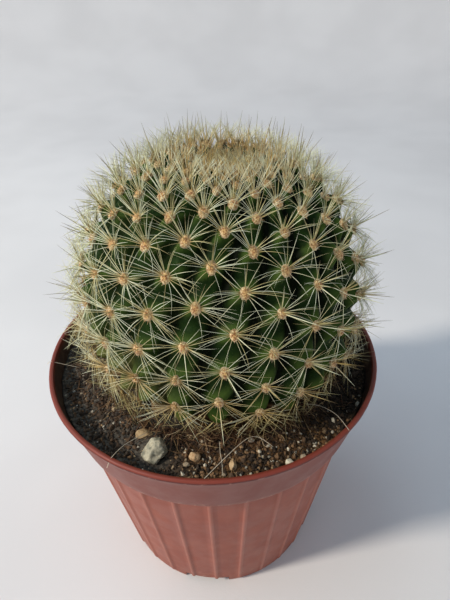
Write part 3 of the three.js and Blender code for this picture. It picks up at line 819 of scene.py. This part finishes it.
def grow_centrals(rng, areole, habit, bundle):
    """The thick pale spine that droops from some areoles and the long dark-tipped ones of most."""
    row = areole.row
    if row < 1.5 and rng.random() < 0.2 + 0.5 * smoothstep(habit.azimuth, -0.5, 0.4) * (1 - habit.old):
        first = rng.uniform(0.35, 0.75)
        turn = 2.2 + rng.gauss(0, 0.5)
        length, radius = rng.uniform(9.0, 11.5), rng.uniform(0.13, 0.17)
        grow(bundle, areole, turn, (first, first + 0.1), length, radius, 0.15, 0.3, gold=habit.gold)
    count = rng.choice((0, 1, 1, 2)) if row < 4.2 else int(row < 5.8)
    for _ in range(count if habit.old < 0.5 else 0):
        first = rng.uniform(0.05, 0.55) * (1 - 0.4 * habit.young)
        length = rng.uniform(8.5, 12.0)
        tint = rng.uniform(0.35, 0.8)
        dark = rng.uniform(0.6, 1.0)
        leans = (first, first + rng.uniform(-0.1, 0.1))
        radius = rng.uniform(0.1, 0.145)
        grow(bundle, areole, rng.gauss(0, 0.8), leans, length, radius, tint, 0.3, dark=dark, gold=habit.gold)


def grow_hanging(rng, areole, habit, bundle):
    """The dead spines that hang from an areole low on the stem."""
    for _ in range(6):
        turn = pi + rng.gauss(0, 0.8)
        first = rng.uniform(0.5, 1.2)
        leans = (first, first + rng.uniform(0, 0.5))
        length = rng.uniform(6.0, 11.0)
        tint = rng.uniform(0.75, 1.0)
        radius, dark = rng.uniform(0.08, 0.13), rng.uniform(0, 0.8)
        grow(bundle, areole, turn, leans, length, radius, tint, dark=dark, gold=habit.gold)


def grow_foot_fringe(rng, bundle):
    """Dead spines all along the rotted foot of the stem in front."""
    for _ in range(FOOT_SPINE_TRIES):
        areole = stem_place(rng.uniform(0, RIBS), rng.uniform(-3.3, -2.1))
        x, y, z = areole.place
        if abs(azimuth_of(x, y) - 0.2) > 1.3 or z < soil_height(x, y) + 1.0:
            continue
        turn = pi + rng.gauss(0, 0.9)
        first = rng.uniform(0.7, 1.3)
        leans = (first, first + rng.uniform(0.0, 0.6))
        radius = rng.uniform(0.07, 0.12)
        grow(bundle, areole, turn, leans, rng.uniform(5.0, 10.0), radius, rng.uniform(0.5, 0.98), dark=0.5)


def make_spines(areoles, material):
    rng = random.Random(11)
    names = ("along", "tint", "dark", "gold")
    front, rear, crown = (Bundle(straight_shoot(3, SPINE_RINGS), *names) for _ in range(3))
    centrals = Bundle(straight_shoot(4, SPINE_RINGS), *names)
    for areole in areoles:
        x, y, z = areole.place
        habit = spine_habit(areole)
        half = front if y < 0 else rear
        lying = crown if areole.row > CROWN_ROW else half
        grow_radials(rng, areole, habit, lying)
        grow_upright(rng, areole, habit, lying)
        grow_centrals(rng, areole, habit, centrals)
        if z < soil_height(x, y) + 12:
            grow_hanging(rng, areole, habit, half)
    grow_foot_fringe(rng, front)
    pieces = {"front_spines": front, "rear_spines": rear, "central_spines": centrals, "crown_spines": crown}
    for name, bundle in pieces.items():
        finished(name, bundle.bm, material, "cactus")


def make_areoles(areoles, material):
    """The felt pads and the short felt hairs round them."""
    rng = random.Random(5)
    bm = bmesh.new()
    bmesh.ops.create_uvsphere(bm, u_segments=10, v_segments=6, radius=1)
    pads = Bundle(as_mesh(bm, "pad"), "edge", "tint", "young", "old")
    hairs = Bundle(straight_shoot(3, 2), "along", "edge", "tint", "young", "old")
    unit = pads.shape
    edge = np.clip(np.hypot(unit[:, 0], unit[:, 1]), 0, 1)
    for areole in areoles:
        young = smoothstep(areole.row, 4.2, 6.6)
        old = age_at_foot(areole.row)
        size = rng.uniform(0.92, 1.1) * (1 - 0.42 * young) * (1 - 0.35 * old)
        width, length, height = 1.3 * size, 1.75 * size, (1.0 + 0.5 * young) * size
        uneven = 1 + 0.1 * np.sin(unit @ np.array((5.1, 3.7, 4.3)) * 1.7 + rng.uniform(0, TURN))
        shaped = unit * uneven[:, None]
        points = areole.place - 0.25 * areole.out
        points = points + shaped[:, :1] * width * areole.side + shaped[:, 1:2] * length * areole.up
        points = points + shaped[:, 2:] * height * areole.out
        tint = rng.uniform(0, 0.6)
        pads.add(points, edge=edge, tint=tint, young=young, old=old)
        for _ in range(HAIRS_PER_PAD):
            turn = rng.uniform(0, TURN)
            reach = rng.uniform(0.2, 0.95)
            sideways = areole.side * sin(turn) * width + areole.up * cos(turn) * length
            root = areole.place + sideways * reach - 0.2 * areole.out
            rise = areole.out * height * (1.25 - 0.9 * reach) + sideways * rng.uniform(0.1, 0.45)
            tip = root + rise * rng.uniform(0.8, 1.3)
            hairs.add_shoot([root, tip], (0.13, 0.04), edge=reach, tint=tint, young=young, old=old)
    finished("areole_pads", pads.bm, material, "cactus")
    finished("areole_hairs", hairs.bm, material, "cactus")


# Pot


def pot_profile():
    """Outer and inner outline of the pot, from the axis below to the axis above."""
    lip_z = POT_HEIGHT - LIP_HEIGHT
    lip = RIM_RADIUS - LIP_THICKNESS
    foot = BASE_RADIUS - FOOT_WIDTH
    body_top = COLLAR_FOOT_Z - COLLAR_STEP
    outer = [(0.0, FOOT_HEIGHT), (20.0, FOOT_HEIGHT), (foot - 0.4, FOOT_HEIGHT), (foot, FOOT_HEIGHT - 0.4)]
    outer += [(foot, 1.0), (foot, 0.3), (foot + 0.3, 0.0), (BASE_RADIUS - 0.35, 0.0), (BASE_RADIUS, 0.3)]
    heights = [0.9, 1.5, 2.4] + [4 + (body_top - 5) * i / 14 for i in range(15)] + [body_top - 0.4]
    outer += [(BASE_RADIUS + BODY_SLOPE * z, z) for z in heights]
    outer += [(BODY_TOP_RADIUS - 0.02, body_top), (BODY_TOP_RADIUS + 0.35, body_top + 0.08)]
    outer += [(COLLAR_FOOT_RADIUS - 0.3, COLLAR_FOOT_Z - 0.3), (COLLAR_FOOT_RADIUS, COLLAR_FOOT_Z + 0.05)]
    heights = [COLLAR_FOOT_Z + (lip_z - 0.7 - COLLAR_FOOT_Z) * i / 7 for i in range(1, 8)]
    outer += [(pot_inner_radius(z) + WALL, z) for z in heights]
    outer += [(COLLAR_TOP_RADIUS + 0.2, lip_z - 0.2), (RIM_RADIUS - 0.14, lip_z + 0.12)]
    outer += [(RIM_RADIUS, lip_z + 0.45), (RIM_RADIUS, POT_HEIGHT - 0.6)]
    outer += [(RIM_RADIUS - 0.16, POT_HEIGHT - 0.2), (RIM_RADIUS - 0.5, POT_HEIGHT)]
    inner = [(lip + 0.5, POT_HEIGHT), (lip + 0.15, POT_HEIGHT - 0.15), (lip, POT_HEIGHT - 0.5)]
    ledge = (COLLAR_FOOT_Z + LEDGE_RISE, COLLAR_FOOT_Z)
    heights = (lip_z, 91.0, 88.0, 84.0, 80.0, *ledge, 60.0, 40.0, 20.0, FLOOR_TOP_Z + 0.6)
    inner += [(pot_inner_radius(z), z) for z in heights]
    inner += [(pot_inner_radius(FLOOR_TOP_Z) - 0.6, FLOOR_TOP_Z), (20.0, FLOOR_TOP_Z), (0.0, FLOOR_TOP_Z)]
    return outer, inner


def make_pot(material):
    """The pot: a spun outline whose columns are drawn together at the upright ribs and raised there."""
    bm = bmesh.new()
    inside, rib_rise_and_highlight_layer, scuff_and_highlight_layer = new_layers(bm, "inside", "rib", "scuff_and_highlight")
    outer, inner = pot_profile()
    values = [0.0] * len(outer) + [1.0] * len(inner)
    spun(bm, stepped_profile(bm, outer + inner, inside, values), POT_RIBS * COLUMNS_PER_RIB)
    pitch = TURN / POT_RIBS
    for vert in bm.verts:
        x, y, z = vert.co
        radius = hypot(x, y)
        if radius < 1:
            continue
        index = round((azimuth_of(x, y) % TURN) / TURN * POT_RIBS * COLUMNS_PER_RIB)
        rib, column = divmod(index + COLUMNS_PER_RIB // 2, COLUMNS_PER_RIB)
        column -= COLUMNS_PER_RIB // 2
        near = abs(column)
        shift = column * pitch / COLUMNS_PER_RIB
        if 0 < near < len(RIB_COLUMNS):
            shift = copysign(RIB_COLUMNS[near], column) / max(radius, 30.0)
        on_body = vert[inside] < 0.5 and abs(radius - BASE_RADIUS - BODY_SLOPE * z) < 0.1
        if on_body and near < len(RIB_PROUD) and RIB_FOOT_Z - 0.4 < z < COLLAR_FOOT_Z - COLLAR_STEP + 0.2:
            # This layer gives both how far a rib is raised and where its painted highlight lies.
            vert[rib_rise_and_highlight_layer] = smoothstep(z, RIB_FOOT_Z - 0.3, RIB_FOOT_Z + 0.6)
            radius += RIB_PROUD[near] * vert[rib_rise_and_highlight_layer]
        vert.co = around_axis(rib * pitch + shift + POT_RIB_PHASE, radius, z)
        # Scuffs at the foot; at the lip's lower edge and the collar step the same mark is also a painted
        # edge highlight.
        low_lip = max(0.0, 1 - abs(z - (POT_HEIGHT - LIP_HEIGHT)) / 0.7)
        step = max(0.0, 1 - abs(z - COLLAR_FOOT_Z) / 0.9)
        foot = max(0.0, 1 - z / 1.5)
        vert[scuff_and_highlight_layer] = 0.0 if vert[inside] > 0.5 else max(low_lip, 0.35 * step, 0.8 * foot)
    cut_pot(finished("pot_body", bm, material, "pot"))


def cut_pot(pot):
    """Cuts the foot's notches and the drain holes."""
    bm = bmesh.new()
    for i in range(FOOT_NOTCHES):
        turn = Matrix.Rotation(FOOT_NOTCH_PHASE + TURN * i / FOOT_NOTCHES, 4, "Z")
        move = Matrix.Translation((0, FOOT_WIDTH - BASE_RADIUS, 0))
        size = Matrix.Diagonal((*FOOT_NOTCH_SIZE, 1.0))
        bmesh.ops.create_cube(bm, size=1, matrix=turn @ move @ size)
    rings = [(DRAIN_RING_RADIUS, TURN * i / DRAIN_HOLES) for i in range(DRAIN_HOLES)] + [(0.0, 0.0)]
    hole = {"segments": 32, "radius1": DRAIN_RADIUS, "radius2": DRAIN_RADIUS, "depth": DRAIN_CUT_DEPTH}
    for radius, azimuth in rings:
        place = Matrix.Translation(around_axis(azimuth, radius, FOOT_HEIGHT + 0.6))
        bmesh.ops.create_cone(bm, cap_ends=True, matrix=place, **hole)
    bm.transform(Matrix.Scale(MM, 4))
    cutter = in_scene("pot_cuts", as_mesh(bm, "pot_cuts"))
    cut = pot.modifiers.new("cuts", "BOOLEAN")
    cut.operation = "DIFFERENCE"
    cut.object = cutter
    cut.solver = "EXACT"
    graph = bpy.context.evaluated_depsgraph_get()
    pot.data = bpy.data.meshes.new_from_object(pot.evaluated_get(graph))
    pot.modifiers.clear()
    bpy.data.objects.remove(cutter)
    pot.data.shade_smooth()
    pot.data.set_sharp_from_angle(angle=radians(42))


# Soil, grit and stones


def sandiness(x, y):
    """How sandy the soil is: brown sand and grit in front and to the right, dark peat elsewhere."""
    azimuth = degrees(azimuth_of(x, y))
    front = smoothstep(azimuth, -22, 2) * (1 - smoothstep(azimuth, 40, 60))
    wobble = 0.35 * noise.noise(Vector((x * 0.11, y * 0.11, 3.0)))
    return min(1.0, max(0.0, front + wobble - 0.1))


def dryness(x, y):
    """How dry and pale the peat is: most of all on the left."""
    return smoothstep(-azimuth_of(x, y), 0.0, 0.5)


def soil_top(x, y):
    """The soil's surface with its crumbs."""
    crumbs = 0.75 * noise.noise(Vector((x * 0.28, y * 0.28, 0.0)))
    crumbs += 0.5 * noise.noise(Vector((x * 0.75, y * 0.75, 7.0)))
    return soil_height(x, y) + crumbs


def soil_hollow(height):
    """Outline of the hollow for the stem, from its mouth down, by height from the stem's middle."""
    points = []
    for depth in np.linspace(height, -34.0, 6):
        points.append((outline_at(row_at_height(depth)).radius - MOUTH_UNDER_RIBS, float(depth)))
    return points + [(14.3, -39.0), (6.3, -62.3), (0.0, -63.3)]


def make_soil(material):
    """The soil from the pot's floor up, with the hollow for the stem in its top."""
    bm = bmesh.new()
    part, sand_layer, dry_layer = new_layers(bm, "part", "sandiness", "dryness")
    below = [(0.0, FLOOR_TOP_Z + GAP)]
    below += [(pot_inner_radius(z) - GAP, z) for z in (FLOOR_TOP_Z + GAP, 30.0, 55.0)]
    ledge = (COLLAR_FOOT_Z, COLLAR_FOOT_Z + LEDGE_RISE, 82.0)
    below += [(pot_inner_radius(z) - GAP, z + GAP) for z in ledge]
    edge_radius = pot_inner_radius(SOIL_EDGE_Z) - GAP
    mouth_height = SOIL_EDGE_Z + 1.0 - LEAN_MOVE[2]
    hollow = soil_hollow(mouth_height)
    mouth_radius = hollow[0][0]
    shares = [i / SOIL_RINGS for i in range(SOIL_RINGS + 1)]
    top = [(edge_radius + (mouth_radius - edge_radius) * share, SOIL_EDGE_Z) for share in shares]
    points = below + top + [(r, z + LEAN_MOVE[2]) for r, z in hollow[1:]]
    values = [0.0] * len(below) + [1.0 + share for share in shares] + [3.0] * (len(hollow) - 1)
    spun(bm, stepped_profile(bm, points, part, values), SOIL_COLUMNS)
    for vert in bm.verts:
        kind = vert[part]
        x, y, z = vert.co
        azimuth = azimuth_of(x, y)
        if 1.0 <= kind <= 2.0:
            share = kind - 1.0
            mouth = leaned(around_axis(azimuth, mouth_radius, mouth_height))
            edge = np.array(around_axis(azimuth, edge_radius, SOIL_EDGE_Z))
            x, y, _ = edge + (mouth - edge) * share
            z = soil_top(x, y)
            vert.co = (x, y, z)
            vert[sand_layer] = sandiness(x, y)
            vert[dry_layer] = dryness(x, y)
        elif kind == 3.0:
            vert.co = leaned((x, y, z - LEAN_MOVE[2]))
    finished("soil_bed", bm, material, "soil")


def on_soil(rng, outer=1.0):
    """A random place on the bare soil between the stem and the share outer of the way to the pot."""
    while True:
        azimuth = rng.uniform(-pi, pi)
        radius = rng.uniform(40.0, BARE_SOIL[1])
        x, y = radius * sin(azimuth), -radius * cos(azimuth)
        share = (hypot(x - 1.8, y) - BARE_SOIL[0]) / (BARE_SOIL[1] - BARE_SOIL[0])
        if 0 <= share <= outer and radius < 56.4:
            return x, y


PLACED_GRAINS = (
    (-8.0, -47.1, 0.9, 0.62), (-8.3, -46.1, 0.5, 1.0), (-7.8, -50.4, 1.3, 0.82), (-11.7, -50.7, 0.6, 0.8),
    (-8.6, -53.3, 0.7, 0.97), (-2.2, -50.4, 0.6, 1.0), (-1.3, -45.5, 0.55, 0.95), (-5.4, -52.7, 0.5, 0.86),
    (14.2, -46.5, 0.6, 1.0), (6.9, -47.5, 0.6, 0.68), (26.7, -42.8, 0.45, 1.0), (27.5, -39.9, 0.55, 0.97),
    (22.1, -40.1, 0.55, 0.78), (11.2, -53.4, 0.45, 0.95), (13.8, -51.5, 0.6, 0.7), (17.9, -50.8, 0.6, 0.77),
    (48.3, -23.5, 0.7, 0.78), (48.6, -27.5, 0.8, 0.98), (44.8, -30.1, 0.5, 0.96), (39.1, -34.6, 0.8, 0.98),
    (38.0, -39.0, 0.55, 1.0), (25.8, -38.9, 0.5, 0.98), (-40.6, -27.7, 0.95, 0.86), (-33.1, -28.3, 1.0, 0.8),
    (-52.0, -20.0, 0.55, 0.9), (-40.0, -34.5, 0.5, 0.88), (-35.4, -35.2, 0.65, 0.9),
    (-37.4, -23.7, 0.5, 0.88), (-49.8, -17.7, 0.55, 0.9), (-29.1, -34.4, 0.65, 0.6),
)


def make_grit(material):
    """Loose crumbs and grains on the soil; the larger ones have their own places."""
    rng = random.Random(23)
    bm = bmesh.new()
    bmesh.ops.create_icosphere(bm, subdivisions=1, radius=1)
    grains = Bundle(as_mesh(bm, "grain"), "tint")
    stones = [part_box(name) for name in STONES]

    def on_a_stone(place, size):
        spans = [[(low[k] / MM - size, high[k] / MM + size) for k in (0, 1)] for low, high in stones]
        return any(all(low < place[k] < high for k, (low, high) in enumerate(span)) for span in spans)

    def drop(place, size, tint):
        angle, axis = rng.uniform(0, TURN), Vector((rng.gauss(0, 1), rng.gauss(0, 1), 1))
        turn = np.array(Matrix.Rotation(angle, 3, axis))
        stretch = np.array([size * rng.uniform(0.6, 1.3) for _ in range(3)])
        uneven = np.array([rng.uniform(0.68, 1.25) for _ in range(grains.count)])
        points = (grains.shape * uneven[:, None] * stretch) @ turn.T + place
        grains.add(points, tint=tint)

    for x, y, size, tint in PLACED_GRAINS:
        drop(np.array((x, y, soil_top(x, y) + 0.45 * size)), size, tint)
    for _ in range(GRAIN_TRIES):
        x, y = on_soil(rng)
        sandy, dry = sandiness(x, y), dryness(x, y)
        pale = rng.random() < 0.08 + 0.26 * sandy + 0.06 * dry
        tint = rng.uniform(0.55, 0.86) if pale else rng.uniform(0.0, 0.34) + 0.18 * dry
        chance = rng.random()
        if pale and chance < 0.15:
            tint = rng.uniform(0.86, 1.0)
        elif not pale and chance < 0.4 * sandy:
            tint = rng.uniform(0.36, 0.66)
        size = rng.uniform(0.22, 0.5 + 0.16 * sandy) if pale else rng.uniform(0.28, 0.72)
        if rng.random() < 0.05:
            size *= 1.7
        place = np.array((x, y, soil_top(x, y) + 0.2 * size))
        in_pot = hypot(x, y) + size <= pot_inner_radius(place[2]) - 0.2
        if in_pot and not on_a_stone(place, size):
            drop(place, size, tint)
    finished("soil_grit", grains.bm, material, "soil", smooth=False)


def make_litter(material):
    """Dead spines and fibres round the stem's foot."""
    rng = random.Random(37)
    litter = Bundle(straight_shoot(3, 5), "along", "tint")
    for _ in range(LITTER_TRIES):
        near_stem = rng.random() < 0.93
        heap = 2.4 if near_stem and rng.random() < 0.5 else 0.0
        x, y = on_soil(rng, (0.2 if heap else 0.3) if near_stem else 1.0)
        heading = rng.uniform(0, TURN)
        bend = rng.uniform(-0.9, 0.9)
        step = rng.uniform(3.5, 9.0) / 4
        path = []
        for i in range(5):
            path.append((x, y, soil_top(x, y) + 0.35 + rng.uniform(0, 1.2 + heap)))
            x += step * sin(heading + bend * i / 4)
            y -= step * cos(heading + bend * i / 4)
        in_stem = min(hypot(x - STEM_SHIFT * 0.5, y) for x, y, _ in path) < 39.5
        if in_stem or max(hypot(x, y) for x, y, _ in path) > 56:
            continue
        radii = rng.uniform(0.09, 0.17) * np.array((0.9, 1.0, 0.9, 0.7, 0.3))
        litter.add_shoot(path, radii, tint=0.9 * rng.random() ** 1.6)
    finished("litter", litter.bm, material, "soil")


HAIRS = (
    ((-60.2, -10.0, 95.0), (-59.3, -9.8, 96.2), (-55.0, -9.4, 94.3), (-49.4, -9.2, 92.2)),
    ((-30.2, -52.9, 93.5), (-29.0, -51.6, 96.3), (-26.0, -46.0, 95.2), (-20.0, -39.5, 92.6)),
    (
        (-2.5, -56.0, 91.4), (2.6, -50.9, 92.4), (8.4, -45.1, 93.0),
        (11.6, -42.8, 93.6), (14.4, -43.0, 93.6), (18.2, -46.5, 93.0),
    ),
    ((2.2, -44.0, 92.6), (2.3, -47.5, 92.4), (2.9, -51.0, 91.8), (3.0, -54.4, 91.0)),
    ((30.0, -30.4, 93.5), (35.0, -32.0, 94.5), (39.3, -36.6, 95.3), (41.3, -43.6, 96.1)),
)
HAIR_RINGS = 16


def make_hairs(material):
    """A few long pale hairs on the soil and over the rim."""
    hairs = Bundle(straight_shoot(3, HAIR_RINGS), "along", "tint")
    for knots in HAIRS:
        share = np.linspace(0, len(knots) - 1, HAIR_RINGS)
        path = np.stack([np.interp(share, range(len(knots)), line) for line in zip(*knots)], axis=1)
        for _ in range(4):
            path[1:-1] = (path[:-2] + 2 * path[1:-1] + path[2:]) / 4
        hairs.add_shoot(path, np.full(HAIR_RINGS, 0.12), tint=0.97)
    finished("hairs", hairs.bm, material, "soil")


STONES = {
    "stone_pale_grey": (4, 7, (194, 185, 162), (128, 125, 110), (148, 132, 104)),
    "stone_tan": (3, 12, (200, 172, 132), (150, 122, 88), (122, 96, 66)),
    "stone_sand": (3, 19, (214, 182, 142), (164, 126, 90), (140, 104, 70)),
    "stone_cream": (3, 25, (220, 194, 156), (176, 144, 106), (146, 114, 78)),
    "stone_white": (3, 31, (236, 228, 208), (196, 186, 164), (168, 150, 120)),
}


def make_stone(name, subdivisions, seed, light, dark, dusty):
    """A chipped stone: a ball cut back by flat faces, smoothed and roughened, as large as its node."""
    rng = random.Random(seed)
    low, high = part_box(name)
    facets = []
    for _ in range(11):
        normal = Vector([rng.gauss(0, 1) for _ in range(3)]).normalized()
        facets.append((normal, rng.uniform(0.6, 0.9)))
    bm = bmesh.new()
    bmesh.ops.create_icosphere(bm, subdivisions=subdivisions + 1, radius=1)
    for vert in bm.verts:
        reach = min([1.0] + [depth / max(0.05, normal.dot(vert.co)) for normal, depth in facets])
        vert.co *= reach
    bmesh.ops.smooth_vert(bm, verts=bm.verts, factor=0.4, use_axis_x=True, use_axis_y=True, use_axis_z=True)
    for vert in bm.verts:
        rough = 0.1 * noise.noise(vert.co * 2.4 + Vector((seed, 0, 0))) + 0.05 * noise.noise(vert.co * 6.0)
        vert.co *= 1.0 + rough + 0.025 * noise.noise(vert.co * 15.0)
    corners = [[pick(vert.co[k] for vert in bm.verts) for k in range(3)] for pick in (min, max)]
    for vert in bm.verts:
        for k in range(3):
            share = (vert.co[k] - corners[0][k]) / (corners[1][k] - corners[0][k])
            vert.co[k] = (low[k] + (high[k] - low[k]) * share) / MM
    finished(f"{name}_chip", bm, rock(f"{name}_rock", light, dark, dusty), name)


# Stage


SWEEP = ((0, 0), (500, 0), (750, 0), (950, 30), (1100, 120), (1200, 280), (1240, 500), (1250, 900))


def make_floor():
    """A pale floor that sweeps up all round, far from the pot."""
    bm = bmesh.new()
    spun(bm, stepped_profile(bm, SWEEP), 64)
    bmesh.ops.reverse_faces(bm, faces=[face for face in bm.faces if face.normal.z < 0])
    new_piece("floor", bm, pale_cloth())


def make_lamp(name, place, size, energy, colour):
    """A round soft lamp that shines on the pot."""
    light = bpy.data.lights.new(name, "AREA")
    light.shape = "DISK"
    light.size = size
    light.energy = energy
    light.color = colour
    lamp = in_scene(name, light)
    lamp.location = place
    aim = Vector((0, 0, 0.1)) - lamp.location
    lamp.rotation_euler = aim.to_track_quat("-Z", "Y").to_euler()


def make_lights():
    """A small warm lamp from the left, a wide soft box above on the left and a dim sky."""
    make_lamp("key_lamp", (-1.25, -0.5, 1.1), 0.2, 24.5, (1.0, 0.93, 0.80))
    make_lamp("soft_box", (-0.55, 0.15, 1.15), 1.1, 4.2, (0.72, 0.87, 1.0))
    world = bpy.data.worlds.new("studio")
    world.use_nodes = True
    background = world.node_tree.nodes["Background"]
    background.inputs["Color"].default_value = (0.60, 0.81, 1.0, 1.0)
    background.inputs["Strength"].default_value = 0.38
    bpy.context.scene.world = world


def make_camera():
    """The camera as it was fitted to the photograph."""
    camera = bpy.data.cameras.new("camera")
    camera.sensor_width = 36
    camera.lens = 27.06
    camera.clip_start = 0.01
    right = (0.99976, -0.01250, -0.01812)
    down = (-0.02201, -0.56767, -0.82297)
    forward = (0.0, 0.82317, -0.56781)
    place = (4.80, -132.63, 206.15)
    rows = [(right[k], -down[k], -forward[k], place[k] * MM) for k in range(3)]
    holder = in_scene("camera", camera)
    holder.matrix_world = Matrix((*rows, (0, 0, 0, 1)))
    bpy.context.scene.camera = holder


def make_all():
    bpy.context.scene.view_settings.view_transform = "Standard"
    make_camera()
    make_lights()
    make_floor()
    areoles = all_areoles()
    make_stem(stem_skin())
    make_areoles(areoles, areole_felt())
    make_spines(areoles, spine_horn())
    make_pot(pot_plastic())
    make_soil(peat())
    make_grit(grit_grain())
    dry_straw = straw()
    make_litter(dry_straw)
    make_hairs(dry_straw)
    for name, values in STONES.items():
        make_stone(name, *values)


make_all()
